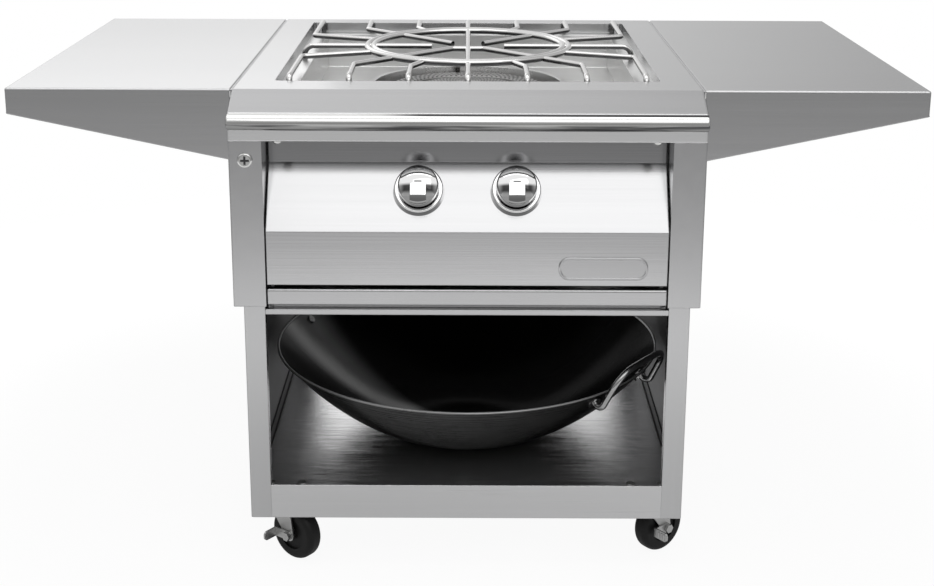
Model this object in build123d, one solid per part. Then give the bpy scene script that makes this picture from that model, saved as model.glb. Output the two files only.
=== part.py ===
from build123d import *
import math
import os

# Outdoor power burner cart, in millimetres. X runs to the right, Y to the back, Z up.
# The origin is on the floor, in the middle of the footprint.

# Clearances
FIT = 0.3
RUNNING = 0.05
SHEET = 1.5
BEND = 3.0

# Top deck and bullnose
HEAD_WIDTH = 610.0
DECK_HEIGHT = 655.0
DECK_DEPTH = 608.0
NOSE_REACH = 60.0
NOSE_DROP = 22.0
SKIRT_HEIGHT = 58.0
LIP_RETURN = 14.0
OPENING_BORDER = 57.0
OPENING_REAR = 37.0
OPENING_SIDE = 49.0
OPENING_CORNER = 6.0
BULLNOSE_HEIGHT = 22.0
BULLNOSE_DEPTH = 12.0

# Upper sides, posts and panels
SLEEVE_HEIGHT = 222.0
SLEEVE_FACE = 43.0
SLEEVE_REVEAL = 50.0
SLEEVE_RETURN = 15.0
REAR_SETBACK = 2.0
POST_WIDTH = 28.0
POST_RETURN = 14.0
POST_INSET = 2.0
PANEL_LAP = 25.0

# Floor pan on its casters
CASTER_HEIGHT = 90.5
BASE_DROP = 20.0
APRON_HEIGHT = 48.0
PAN_FLANGE = 20.0

# Heat shield and drip tray
SHIELD_DROP = 4.0
SHIELD_HEM = 7.0
TRAY_INSET = 6.0
TRAY_REAR_GAP = 49.0
TRAY_WALL = 20.0
TRAY_SIDE_GAP = 1.0
TRAY_FACE_HEIGHT = 22.6
TRAY_FACE_RISE = 5.4
TRAY_FACE_DEPTH = 9.0
RUNNER_HEIGHT = 18.0
RUNNER_FOOT = 6.0

# Control panel
PANEL_GAP = 2.0
TRAY_TO_APRON = 6.0
APRON_FACE = 72.0
SLOPE_RISE = 81.0
SLOPE_RUN = 50.0
APRON_SETBACK = 1.0
APRON_RETURN = 20.0
STRIP_RETURN = 14.0
BADGE_WIDTH = 116.0
BADGE_HEIGHT = 31.0
BADGE_CORNER = 13.95
BADGE_THICK = 2.0
BADGE_RIM = 3.0
BADGE_FIELD = 0.8
BADGE_INSET = 83.5
BADGE_DROP = 48.5

# Knobs, bezels and gas valves
KNOB_SPACING = 126.6
KNOB_DOWN = 40.0
KNOB_RADIUS = 26.0
KNOB_SKIRT = 26.0
KNOB_DOME = 7.0
KNOB_EDGE = 4.0
KNOB_LIFT = 7.0
GRIP_WIDTH = 21.0
SCOOP_START = 4.0
SCOOP_DEPTH = 14.0
NOTCH_WIDTH = 10.0
NOTCH_HEIGHT = 1.6
BEZEL_RADIUS = 33.5
BEZEL_HEIGHT = 12.0
BEZEL_TAPER = 2.0
BEZEL_GAP = 1.5
STEM_RADIUS = 4.0
STEM_HOLE = 7.0
STEM_GRIP = 24.0
PUSH_TRAVEL = 4.0
VALVE_RADIUS = 13.0
VALVE_LENGTH = 48.0
VALVE_WALL = 3.2
VALVE_CAVITY = 9.0
VALVE_CAVITY_DEPTH = 26.0
WASHER_THICK = 2.0
WASHER_RADIUS = 8.5
SPRING_RADIUS = 6.8
SPRING_WIRE = 1.2
SPRING_TURNS = 5
SPUD_RADIUS = 6.0
SPUD_LENGTH = 40.0
SPUD_DEPTH = 26.0

# Gas pipe
PIPE_RADIUS = 10.7
PIPE_BORE = 8.0
PIPE_BEND = 30.0
PIPE_FEED_INSET = 37.0
PIPE_CAP = 12.0
INLET_HEX = 24.0
INLET_HEX_LENGTH = 12.0
INLET_STUB_RADIUS = 7.94
INLET_STUB_LENGTH = 14.0
INLET_BORE = 5.0
BACK_LAP = 24.0
INLET_WINDOW = 30.0

# Firebox, bowl and burners
LEDGE_DROP = 15.0
LEDGE_WIDTH = 24.0
LEDGE_LAP = 6.0
FIREBOX_DEPTH = 54.5
BOWL_MOUTH = 140.0
BOWL_FLANGE = 18.0
BOWL_DEPTH = 16.5
BOWL_TAPER = 3.0
BOWL_CURB = 17.0
BOWL_CURB_WIDTH = 8.0
BURNER_WALL = 2.5
BURNER_HEIGHT = 27.0
BURNER_WIDTH = 30.0
OUTER_BURNER = 106.0
INNER_BURNER = 64.0
PORT_RADIUS = 1.6
OUTER_PORTS = 40
INNER_PORTS = 22
VENTURI_RADIUS = 11.0
VENTURI_BORE = 9.5
VENTURI_BEND = 22.0
VENTURI_MOUTH = 15.0
VENTURI_MOUTH_LENGTH = 8.0
VENTURI_GAP = 6.0
IGNITER_SIZE = 7.0
IGNITER_HEIGHT = 33.0
IGNITER_X = -16.0

# Rod grate
ROD = 8.0
RING_ROD = 9.0
RING_LIFT = 1.0
GRATE_RISE = 8.0
GRATE_RING = 150.0
RING_STEP = 9.4
ROD_EDGE = 17.5
ROD_INSET = 12.0
ROD_BEND = 9.0
ARM_BEND = 14.0
ARM_TURNS = (171.0, 156.0, 94.0)
DIAGONAL_END = 32.0
SIDE_ARM_END = 54.0

# Side shelves
SHELF_WIDTH = 291.0
SHELF_GAP = 2.5
SHELF_LIP = 34.0
SHELF_GUSSET = 95.0
SHELF_HEM = 12.0
BRACKET_LEG = 40.0
BRACKET_SHEET = 2.0
BRACKET_HEIGHT = 92.0

# Screws
SHELF_SCREW = 2.5
SHELF_SCREW_HEAD = 5.0
SHELF_SCREW_DROP = 76.0
SHELF_SCREW_REACH = 9.0
LIP_SCREW = 2.0
LIP_SCREW_HEAD = 6.5
LIP_SCREW_RISE = 5.0
LIP_SCREW_INSET = 20.0
LIP_SCREW_SETBACK = 7.5
SLEEVE_SCREW = 3.0
SLEEVE_SCREW_HEAD = 10.0
SLEEVE_SCREW_DROP = 25.0
SCREW_HEAD_HEIGHT = 3.5
SCREW_DOME = 0.8
SCREW_SLOT_LENGTH = 1.2
SCREW_SLOT_WIDTH = 0.3
HOLE_CLEAR = 0.3

# Casters
CASTER_INSET = 41.0
CASTER_PLATE = 62.0
CASTER_PLATE_CORNER = 6.0
CASTER_PLATE_THICK = 2.5
CASTER_BOLT_PITCH = 44.0
CASTER_BOLT = 3.0
CASTER_BOLT_HEAD = 5.5
CASTER_BOLT_HEAD_HEIGHT = 2.0
CASTER_NUT = 5.0
CASTER_NUT_HEIGHT = 4.0
CASTER_CUP_RADIUS = 21.0
KINGPIN = 5.0
KINGPIN_HEAD = 8.0
WHEEL_RADIUS = 37.5
WHEEL_WIDTH = 24.0
WHEEL_SHOULDER = 8.0
HUB_RADIUS = 22.0
HUB_RECESS = 3.0
HUB_BOSS = 9.0
CASTER_TRAIL = 22.0
FORK_CLEAR = 3.0
FORK_SHEET = 3.5
FORK_RADIUS = 22.0
FORK_LEG = 2.5
FORK_SIDE_GAP = 2.0
FORK_BOSS = 8.5
FORK_FLARE = 6.0
AXLE = 4.0
AXLE_HEAD = 6.5
AXLE_HEAD_HEIGHT = 4.0
BRAKE_SHEET = 2.5
BRAKE_ARM = 13.0
BRAKE_LENGTH = 24.0
BRAKE_PEDAL = 24.0
BRAKE_RIBS = (9.0, 14.0, 19.0)
BRAKE_RIB = 1.2
CASTER_YAWS = {"front_left": -38.0, "front_right": 38.0, "rear_left": -70.0, "rear_right": -115.0}

# Wok stored on the floor pan
WOK_CLEAR = 6.5
WOK_DEPTH = 139.0
WOK_WALL = 2.0
WOK_FLAT = 60.0
WOK_RIM = 4.0
WOK_Y = -49.0
WOK_HANDLE_ANGLE = -37.0
WOK_HANDLE_HALF = 13.0
WOK_HANDLE_ROD = 9.0
WOK_HANDLE_RISE = 36.0
WOK_HANDLE_REACH = 30.0
WOK_HANDLE_DROP = 15.0
WOK_HANDLE_STANDOFF = 17.0
WOK_HANDLE_ROOT_BEND = 9.0
WOK_HANDLE_TIP_BEND = 32.0
WOK_HANDLE_NARROW = 0.85
RIVET = 3.0
RIVET_HEAD = 6.5
RIVET_HEAD_HEIGHT = 2.5
RIVET_PAD = 11.0
RIVET_PAD_THICK = 3.0

# Places worked out from the sizes above
y_front = -(DECK_DEPTH + NOSE_REACH) / 2
y_deck = y_front + NOSE_REACH
y_back = -y_front
y_lip = y_front + BULLNOSE_DEPTH
z_nose = DECK_HEIGHT - NOSE_DROP
z_skirt = DECK_HEIGHT - SKIRT_HEIGHT
y_open_front = y_deck + OPENING_BORDER
y_open_back = y_back - OPENING_REAR
opening_depth = y_open_back - y_open_front
opening_width = HEAD_WIDTH - 2 * OPENING_SIDE
y_burner = (y_open_front + y_open_back) / 2
x_out = HEAD_WIDTH / 2
x_in = x_out - SLEEVE_FACE
z_sleeve = z_skirt - SLEEVE_HEIGHT
y_sleeve_back = y_back - REAR_SETBACK
x_post_in = x_in + POST_INSET
x_post_out = x_post_in + POST_WIDTH
y_post = y_lip + SHEET
y_post_back = y_sleeve_back - SHEET
z_floor = CASTER_HEIGHT + SHEET
z_base = z_floor - BASE_DROP
z_shield = z_sleeve - SHIELD_DROP
z_tray_face = z_shield + TRAY_FACE_RISE
z_apron = z_tray_face + TRAY_FACE_HEIGHT + TRAY_TO_APRON
z_knee = z_apron + APRON_FACE
z_strip = z_knee + SLOPE_RISE
y_apron = y_lip + APRON_SETBACK
y_strip = y_apron + SLOPE_RUN
panel_half = x_in - PANEL_GAP
tray_half = panel_half - TRAY_INSET
y_tray = y_post + TRAY_FACE_DEPTH
y_tray_back = y_post_back - 2 * SHEET - TRAY_REAR_GAP
x_badge = panel_half - BADGE_INSET
slope_length = math.hypot(SLOPE_RISE, SLOPE_RUN)
y_knob = y_strip - KNOB_DOWN * SLOPE_RUN / slope_length
z_knob = z_strip - KNOB_DOWN * SLOPE_RISE / slope_length
knob_axis = (0, -SLOPE_RISE / slope_length, SLOPE_RUN / slope_length)
pipe_depth = SHEET + FIT + VALVE_LENGTH + FIT + PIPE_RADIUS
y_pipe = y_knob - knob_axis[1] * pipe_depth
z_pipe = z_knob - knob_axis[2] * pipe_depth
x_feed = x_in - PIPE_FEED_INSET
y_inlet = y_post_back - SHEET - INLET_STUB_LENGTH - INLET_HEX_LENGTH + FIT
x_lip_screw = x_in - LIP_SCREW_INSET
z_ledge = DECK_HEIGHT - LEDGE_DROP
rod_spacing = (opening_width / 2 - ROD_EDGE) / len(ARM_TURNS)
z_fire_floor = z_ledge - FIREBOX_DEPTH
z_bowl = z_fire_floor + SHEET - BOWL_DEPTH
y_spud_end = y_knob - knob_axis[1] * SPUD_DEPTH + SPUD_LENGTH
z_spud = z_knob - knob_axis[2] * SPUD_DEPTH
x_shelf = x_out + SHELF_GAP
x_caster = x_post_out - CASTER_INSET
y_caster = (y_post + CASTER_INSET, y_post_back - CASTER_INSET)
z_caster_plate = CASTER_HEIGHT - CASTER_PLATE_THICK
z_crown = 2 * WHEEL_RADIUS + FORK_CLEAR
fork_inner = WHEEL_WIDTH / 2 + FORK_SIDE_GAP
fork_outer = fork_inner + FORK_LEG
wok_bottom = z_floor + FIT
wok_radius = x_post_out - SHEET - WOK_CLEAR


def block(x0, x1, y0, y1, z0, z1):
    """A box between two opposite corners."""
    return Pos((x0 + x1) / 2, (y0 + y1) / 2, (z0 + z1) / 2) * Box(x1 - x0, y1 - y0, z1 - z0)


def folded_outline(points, thickness):
    """A folded sheet's section: the outer line and its mitred offset to the left."""
    def left_of(a, b):
        run = math.hypot(b[0] - a[0], b[1] - a[1])
        return (-(b[1] - a[1]) / run, (b[0] - a[0]) / run)

    normals = [left_of(a, b) for a, b in zip(points, points[1:])]
    inner = []
    for index, (u, v) in enumerate(points):
        before = normals[max(index - 1, 0)]
        after = normals[min(index, len(normals) - 1)]
        scale = thickness / (1 + before[0] * after[0] + before[1] * after[1])
        inner.append((u + (before[0] + after[0]) * scale, v + (before[1] + after[1]) * scale))
    return make_face(Polyline(*points, *reversed(inner), close=True))


def rod(points, radius, bend):
    """A round bar along straight runs with rounded bends."""
    path = FilletPolyline(*points, radius=bend) if len(points) > 2 else Line(*points)
    return sweep(Plane(path @ 0, z_dir=path % 0) * Circle(radius), path)


def tube(points, radius, bore, bend):
    """A pipe along straight runs with rounded bends."""
    path = FilletPolyline(*points, radius=bend)
    start = Plane(path @ 0, z_dir=path % 0)
    return sweep(start * Circle(radius), path) - sweep(start * Circle(bore), path)


def joined(pieces):
    """All the pieces fused together."""
    return pieces[0].fuse(*pieces[1:])


def top_deck():
    """Folded deck with its sloped nose, skirt, grate opening and lip return."""
    def outline(bottom):
        upper = [(y_back, DECK_HEIGHT), (y_deck, DECK_HEIGHT), (y_lip, z_nose)]
        corners = [(y_back, bottom), *upper, (y_lip, bottom)]
        return make_face(Polyline(*corners, close=True))

    shell = extrude(Plane.YZ * outline(z_skirt), x_out, both=True)
    shell = fillet(shell.edges().filter_by(lambda e: e.center().Z > z_skirt + SHEET), BEND)
    hollow = offset(outline(z_skirt - SKIRT_HEIGHT), -SHEET, kind=Kind.INTERSECTION)
    shell -= extrude(Plane.YZ * hollow, x_out - SHEET, both=True)
    mouth = Pos(0, y_burner, z_ledge) * RectangleRounded(opening_width, opening_depth, OPENING_CORNER)
    rim_width = opening_width + 2 * SHEET
    rim_depth = opening_depth + 2 * SHEET
    rim = Pos(0, y_burner, z_ledge) * RectangleRounded(rim_width, rim_depth, OPENING_CORNER + SHEET)
    shell += extrude(rim, LEDGE_DROP - SHEET)
    shell -= extrude(mouth, LEDGE_DROP + SHEET)
    inside = x_out - SHEET
    shell += block(-inside, inside, y_lip + SHEET, y_lip + LIP_RETURN, z_skirt, z_skirt + SHEET)
    for x in (-x_lip_screw, x_lip_screw):
        hole = Cylinder(LIP_SCREW + HOLE_CLEAR, 4 * SHEET)
        shell -= Pos(x, y_lip + LIP_SCREW_SETBACK, z_skirt) * hole
    return shell


def bullnose_rail():
    """Polished half-round channel along the front of the deck."""
    def section(inset):
        top = (y_lip, z_nose - inset)
        middle = (y_front + inset, z_nose - BULLNOSE_HEIGHT / 2)
        bottom = (y_lip, z_nose - BULLNOSE_HEIGHT + inset)
        return make_face(Curve() + [ThreePointArc(top, middle, bottom), Line(bottom, top)])

    bar = extrude(Plane.YZ * section(0), x_out, both=True)
    bar = fillet(bar.edges().filter_by(GeomType.CIRCLE), BEND)
    return bar - extrude(Plane.YZ * section(SHEET), x_out - SHEET - BEND, both=True)


def right_upper_side():
    """Folded upper side: face, side wall, rear flange, inner returns and bottom flange."""
    def wall(x0, x1, y0, y1, z0=z_sleeve, z1=z_skirt):
        return block(x0, x1, y0, y1, z0, z1)

    side = joined([
        wall(x_out - SHEET, x_out, y_lip, y_sleeve_back),
        wall(x_in, x_out, y_lip, y_lip + SHEET),
        wall(x_in, x_out, y_sleeve_back - SHEET, y_sleeve_back),
        wall(x_in, x_in + SHEET, y_lip, y_lip + SLEEVE_REVEAL),
        wall(x_in, x_in + SHEET, y_sleeve_back - SLEEVE_RETURN, y_sleeve_back),
        wall(x_post_out, x_out, y_post, y_post_back, z_sleeve, z_sleeve + SHEET),
    ])
    corners = side.edges().filter_by(Axis.Z).filter_by(lambda e: e.center().X > x_out - SHEET / 2)
    side = fillet(corners, BEND)
    for y in shelf_screw_places():
        hole = Cylinder(SHELF_SCREW + HOLE_CLEAR, 4 * SHEET, rotation=(0, 90, 0))
        side -= Pos(x_out, y, DECK_HEIGHT - SHELF_SCREW_DROP) * hole
    return side


def left_upper_side():
    """The mirrored side, with the hole for its face screw."""
    return mirror(right_upper_side(), Plane.YZ) - sleeve_screw_hole()


def sleeve_screw_place():
    return Pos(-(x_in + SLEEVE_FACE / 2), y_lip, z_skirt - SLEEVE_SCREW_DROP)


def sleeve_screw_hole():
    return sleeve_screw_place() * Cylinder(SLEEVE_SCREW + HOLE_CLEAR, 8 * SHEET, rotation=(90, 0, 0))


def corner_post(right, back):
    """Folded angle post with an inner return that stops on the floor pan."""
    top = z_skirt - FIT
    depth = y_post + POST_WIDTH
    post = joined([
        block(x_post_in, x_post_out, y_post, y_post + SHEET, z_base, top),
        block(x_post_out - SHEET, x_post_out, y_post, depth, z_base, top),
        block(x_post_in, x_post_in + SHEET, y_post, y_post + POST_RETURN, z_floor, top),
    ])
    outer = post.edges().filter_by(Axis.Z).sort_by(lambda e: e.center().X - e.center().Y)[-1]
    post = fillet(outer, BEND)
    if back:
        middle = (y_post + y_post_back) / 2
        post = mirror(post, Plane.XZ.offset(-middle))
    if not right:
        post = mirror(post, Plane.YZ)
    return post


def front_left_post():
    return corner_post(False, False) - sleeve_screw_hole()


def right_lower_side():
    """Flat panel between the right posts."""
    y0 = y_post + POST_WIDTH
    y1 = y_post_back - POST_WIDTH
    return block(x_post_out - SHEET, x_post_out, y0, y1, z_base, z_sleeve + PANEL_LAP)


def back_panel():
    """Panel behind the burner box, with a window for the gas inlet, over the open back of the bay."""
    half = x_in - FIT
    low = z_shield - BACK_LAP
    panel = block(-half, half, y_post_back - 2 * SHEET, y_post_back - SHEET, low, z_skirt - FIT)
    window = Cylinder(INLET_WINDOW, 8 * SHEET, rotation=(90, 0, 0))
    return panel - Pos(x_feed, y_post_back, z_pipe) * window


def caster_places():
    """Name and swivel axis of each caster."""
    for end, y in zip(("front", "rear"), y_caster):
        for side, x in (("left", -x_caster), ("right", x_caster)):
            yield f"{end}_{side}", x, y


def caster_bolt_places():
    half = CASTER_BOLT_PITCH / 2
    for _, x, y in caster_places():
        for dx in (-half, half):
            for dy in (-half, half):
                yield x + dx, y + dy


def base_pan():
    """Floor sheet with front and rear aprons, side flanges and caster bolt holes."""
    half = x_post_out - SHEET
    y0 = y_post + SHEET
    y1 = y_post_back - SHEET
    apron_top = z_base + APRON_HEIGHT
    pan = joined([
        block(-half, half, y0, y1, z_floor - SHEET, z_floor),
        block(-x_post_in, x_post_in, y_post, y0, z_base, apron_top),
        block(-x_post_in, x_post_in, y1, y_post_back, z_base, apron_top),
        block(-half, SHEET - half, y0 + POST_RETURN, y1 - POST_RETURN, z_floor, z_floor + PAN_FLANGE),
        block(half - SHEET, half, y0 + POST_RETURN, y1 - POST_RETURN, z_floor, z_floor + PAN_FLANGE),
    ])
    hole = Cylinder(CASTER_BOLT + HOLE_CLEAR, 4 * SHEET)
    holes = [Pos(x, y, z_floor) * hole for x, y in caster_bolt_places()]
    return pan - holes


def heat_shield():
    """Sheet over the storage bay, with the hemmed edge that shows in front."""
    half = x_post_in - FIT
    sheet = block(-half, half, y_post, y_post_back - 2 * SHEET - FIT, z_shield - SHEET, z_shield)
    return sheet + block(-half, half, y_post, y_post + SHEET, z_shield - SHIELD_HEM, z_shield)


def tray_runners():
    """Angle runners on the heat shield, one each side of the tray."""
    inner = tray_half + TRAY_SIDE_GAP
    y0 = y_tray + SHEET
    y1 = y_tray_back + SHEET
    wall = block(inner, inner + SHEET, y0, y1, z_shield, z_shield + RUNNER_HEIGHT)
    foot = block(inner, inner + RUNNER_FOOT, y0, y1, z_shield, z_shield + SHEET)
    runner = wall + foot
    return Compound([runner, mirror(runner, Plane.YZ)])


def drip_tray():
    """Shallow pan with a boxed, hemmed front."""
    half = tray_half
    inner = half - SHEET
    z0 = z_shield + FIT
    y0 = y_tray
    pan = block(-half, half, y0, y_tray_back, z0, z0 + TRAY_WALL)
    pan -= block(-inner, inner, y0 + SHEET, y_tray_back - SHEET, z0 + SHEET, z0 + 2 * TRAY_WALL)
    face = block(-panel_half, panel_half, y_post, y0 + SHEET, z_tray_face, z_tray_face + TRAY_FACE_HEIGHT)
    front_edges = face.edges().filter_by(Axis.X).group_by(Axis.Y)[0]
    face = fillet(front_edges, BEND)
    inside = panel_half - SHEET
    face_top = z_tray_face + TRAY_FACE_HEIGHT
    face -= block(-inside, inside, y_post + SHEET, y0, z_tray_face + SHEET, face_top - SHEET)
    face -= block(-inside, inside, y_post + SHEET, y0, z_tray_face - SHEET, z_tray_face + 2 * SHEET)
    return pan + face


def control_panel():
    """Folded fascia: recessed strip, knob slope and apron, with side cheeks."""
    top = DECK_HEIGHT - SHEET
    line = [
        (y_strip + STRIP_RETURN, top),
        (y_strip, top),
        (y_strip, z_strip),
        (y_apron, z_knee),
        (y_apron, z_apron),
        (y_apron + APRON_RETURN, z_apron),
    ]
    panel = extrude(Plane.YZ * folded_outline(line, SHEET), panel_half, both=True)
    cheek = make_face(Polyline(*line, (y_strip + STRIP_RETURN, z_strip), close=True))
    for x in (-panel_half, panel_half - SHEET):
        panel += extrude(Plane.YZ.offset(x) * cheek, SHEET)
    for side in (-1, 1):
        panel -= knob_plane(side) * Cylinder(STEM_HOLE, 4 * SHEET)
    return panel


def badge_plate():
    """Bare rounded plate on the apron."""
    plate = extrude(RectangleRounded(BADGE_WIDTH, BADGE_HEIGHT, BADGE_CORNER), BADGE_THICK)
    plate = chamfer(plate.edges().group_by(Axis.Z)[-1], BADGE_THICK / 2)
    wide = BADGE_WIDTH - 2 * BADGE_RIM
    high = BADGE_HEIGHT - 2 * BADGE_RIM
    field = extrude(RectangleRounded(wide, high, BADGE_CORNER - BADGE_RIM), BADGE_THICK)
    plate -= Pos(0, 0, BADGE_THICK - BADGE_FIELD) * field
    face = Plane((x_badge, y_apron, z_knee - BADGE_DROP), x_dir=(1, 0, 0), z_dir=(0, -1, 0))
    return face * plate


def knob_plane(side):
    """Knob axis frame: origin on the slope's face, Z outwards."""
    return Plane((side * KNOB_SPACING / 2, y_knob, z_knob), x_dir=(1, 0, 0), z_dir=knob_axis)


def knob(side):
    """Domed drum knob, scooped on both sides of its lower half to leave a grip rib."""
    rim = KNOB_LIFT + KNOB_SKIRT
    crown = rim + KNOB_DOME
    sphere = (KNOB_RADIUS**2 + KNOB_DOME**2) / (2 * KNOB_DOME)
    half_angle = math.asin(KNOB_RADIUS / sphere) / 2
    midway = (sphere * math.sin(half_angle), crown - sphere * (1 - math.cos(half_angle)))
    outline = Curve() + [
        Line((0, KNOB_LIFT), (KNOB_RADIUS, KNOB_LIFT)),
        Line((KNOB_RADIUS, KNOB_LIFT), (KNOB_RADIUS, rim)),
        ThreePointArc((KNOB_RADIUS, rim), midway, (0, crown)),
        Line((0, crown), (0, KNOB_LIFT)),
    ]
    body = revolve(Plane.XZ * make_face(outline), Axis.Z)
    body = fillet(body.edges().filter_by(lambda e: abs(e.center().Z - rim) < FIT), KNOB_EDGE)
    beyond = 2 * KNOB_RADIUS
    deep = crown - SCOOP_DEPTH * (beyond - SCOOP_START) / (KNOB_RADIUS - SCOOP_START)
    corners = [(-SCOOP_START, crown), (-SCOOP_START, beyond), (-beyond, beyond), (-beyond, deep)]
    wedge = make_face(Polyline(*corners, close=True))
    scoop = extrude(Plane.YZ.offset(GRIP_WIDTH / 2) * wedge, KNOB_RADIUS)
    body -= [scoop, mirror(scoop, Plane.YZ)]
    body -= Pos(0, -NOTCH_HEIGHT, crown) * Box(NOTCH_WIDTH, NOTCH_HEIGHT, NOTCH_HEIGHT)
    bore = Cylinder(STEM_RADIUS + RUNNING, 2 * STEM_GRIP)
    return knob_plane(side) * (body - Pos(0, 0, KNOB_LIFT) * bore)


def knob_bezels():
    """Bright rings on the slope around the knobs."""
    base = (Align.CENTER, Align.CENTER, Align.MIN)
    ring = Cone(BEZEL_RADIUS, BEZEL_RADIUS - BEZEL_TAPER, BEZEL_HEIGHT, align=base)
    ring = fillet(ring.edges().group_by(Axis.Z)[-1], BEZEL_TAPER)
    ring -= Cylinder(KNOB_RADIUS + BEZEL_GAP, 4 * BEZEL_HEIGHT)
    return Compound([knob_plane(side) * ring for side in (-1, 1)])


def valve_top():
    """Depth of the valve's front face below the slope's outer face."""
    return -SHEET - FIT


def valve_stem(side):
    """Round stem from the valve into the knob."""
    low = valve_top() - VALVE_WALL - VALVE_CAVITY_DEPTH - PUSH_TRAVEL
    high = KNOB_LIFT + STEM_GRIP - FIT
    return knob_plane(side) * Pos(0, 0, (low + high) / 2) * Cylinder(STEM_RADIUS, high - low)


def thrust_washer(side):
    """Washer on the stem that the return spring pushes against."""
    middle = valve_top() - VALVE_WALL - FIT - WASHER_THICK / 2
    ring = Cylinder(WASHER_RADIUS, WASHER_THICK) - Cylinder(STEM_RADIUS + RUNNING, 2 * WASHER_THICK)
    return knob_plane(side) * Pos(0, 0, middle) * ring


def return_spring(side):
    """Coil spring under the thrust washer."""
    high = valve_top() - VALVE_WALL - 2 * FIT - WASHER_THICK - SPRING_WIRE / 2
    low = valve_top() - VALVE_WALL - VALVE_CAVITY_DEPTH + FIT + SPRING_WIRE / 2
    coil = Helix((high - low) / SPRING_TURNS, high - low, SPRING_RADIUS)
    wire = sweep(Plane(coil @ 0, z_dir=coil % 0) * Circle(SPRING_WIRE / 2), coil)
    return knob_plane(side) * Pos(0, 0, low) * wire


def gas_valve(side):
    """Valve body with its stem bore, spring cavity and outlet spud."""
    front = valve_top()
    body = Pos(0, 0, front - VALVE_LENGTH / 2) * Cylinder(VALVE_RADIUS, VALVE_LENGTH)
    body = knob_plane(side) * body
    y_spud = y_spud_end - SPUD_LENGTH
    spud = Cylinder(SPUD_RADIUS, SPUD_LENGTH, rotation=(90, 0, 0))
    body += Pos(side * KNOB_SPACING / 2, y_spud + SPUD_LENGTH / 2, z_spud) * spud
    cavity_top = front - VALVE_WALL
    cavity = Pos(0, 0, cavity_top - VALVE_CAVITY_DEPTH / 2) * Cylinder(VALVE_CAVITY, VALVE_CAVITY_DEPTH)
    bore_length = VALVE_WALL + VALVE_CAVITY_DEPTH + 3 * PUSH_TRAVEL
    bore = Pos(0, 0, front - bore_length / 2 + FIT) * Cylinder(STEM_RADIUS + RUNNING, bore_length + FIT)
    return body - knob_plane(side) * cavity - knob_plane(side) * bore


def gas_manifold():
    """Gas pipe behind the panel, capped on the left, with its feed to the back."""
    start = (-KNOB_SPACING / 2 - 2 * VALVE_RADIUS, y_pipe, z_pipe)
    corner = (x_feed, y_pipe, z_pipe)
    end = (x_feed, y_inlet, z_pipe)
    pipe = tube([start, corner, end], PIPE_RADIUS, PIPE_BORE, PIPE_BEND)
    cap = Cylinder(PIPE_RADIUS, PIPE_CAP, rotation=(0, 90, 0))
    return pipe + Pos(start[0] - PIPE_CAP / 2, y_pipe, z_pipe) * cap


def gas_inlet_fitting():
    """Hexagon and flare stub at the back end of the gas pipe."""
    face = Plane((x_feed, y_inlet, z_pipe), x_dir=(1, 0, 0), z_dir=(0, 1, 0))
    fitting = extrude(RegularPolygon(INLET_HEX / 2, 6, major_radius=False), INLET_HEX_LENGTH)
    length = INLET_HEX_LENGTH + INLET_STUB_LENGTH
    fitting += Pos(0, 0, length / 2) * Cylinder(INLET_STUB_RADIUS, length)
    return face * (fitting - Pos(0, 0, length / 2) * Cylinder(INLET_BORE, 2 * length))


def firebox():
    """Welded liner under the opening: grate ledge, walls and a floor with the bowl's hole."""
    def frame(half_x, half_y, width, z0, z1):
        y0 = y_burner - half_y
        y1 = y_burner + half_y
        return [
            block(-half_x, half_x, y0, y0 + width, z0, z1),
            block(-half_x, half_x, y1 - width, y1, z0, z1),
            block(-half_x, width - half_x, y0 + width, y1 - width, z0, z1),
            block(half_x - width, half_x, y0 + width, y1 - width, z0, z1),
        ]

    lap = SHEET + LEDGE_LAP
    wall_x = opening_width / 2 - LEDGE_WIDTH
    wall_y = opening_depth / 2 - LEDGE_WIDTH
    ledge = LEDGE_WIDTH + lap + SHEET
    pieces = frame(wall_x + LEDGE_WIDTH + lap, wall_y + LEDGE_WIDTH + lap, ledge, z_ledge - SHEET, z_ledge)
    pieces += frame(wall_x, wall_y, SHEET, z_fire_floor, z_ledge - SHEET)
    floor = block(-wall_x, wall_x, y_burner - wall_y, y_burner + wall_y, z_fire_floor - SHEET, z_fire_floor)
    hole = Cylinder(BOWL_MOUTH + BOWL_CURB_WIDTH, 8 * SHEET)
    return Compound([*pieces, floor - Pos(0, y_burner, z_fire_floor) * hole])


def venturi_places():
    """Mixing tube line and burner inlet: X, Y of the inlet and burner radius."""
    half = KNOB_SPACING / 2
    yield -half, y_burner - math.sqrt(OUTER_BURNER**2 - half**2)
    yield half, y_burner - math.sqrt(max(INNER_BURNER**2 - half**2, 0))


def burner_bowl():
    """Pressed bowl with a raised curb, hung by its flange in the firebox floor."""
    rest = z_fire_floor + SHEET
    curb = rest + BOWL_CURB
    wall = BOWL_MOUTH + BOWL_CURB_WIDTH
    foot = BOWL_MOUTH - BOWL_TAPER
    line = [(wall + BOWL_FLANGE, rest), (wall, rest), (wall, curb), (BOWL_MOUTH, curb), (foot, z_bowl), (0, z_bowl)]
    bowl = Pos(0, y_burner, 0) * revolve(Plane.XZ * folded_outline(line, SHEET), Axis.Z)
    for x, y in venturi_places():
        bowl -= Pos(x, y, z_bowl) * Cylinder(VENTURI_RADIUS + FIT, 8 * SHEET)
    return bowl


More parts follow.
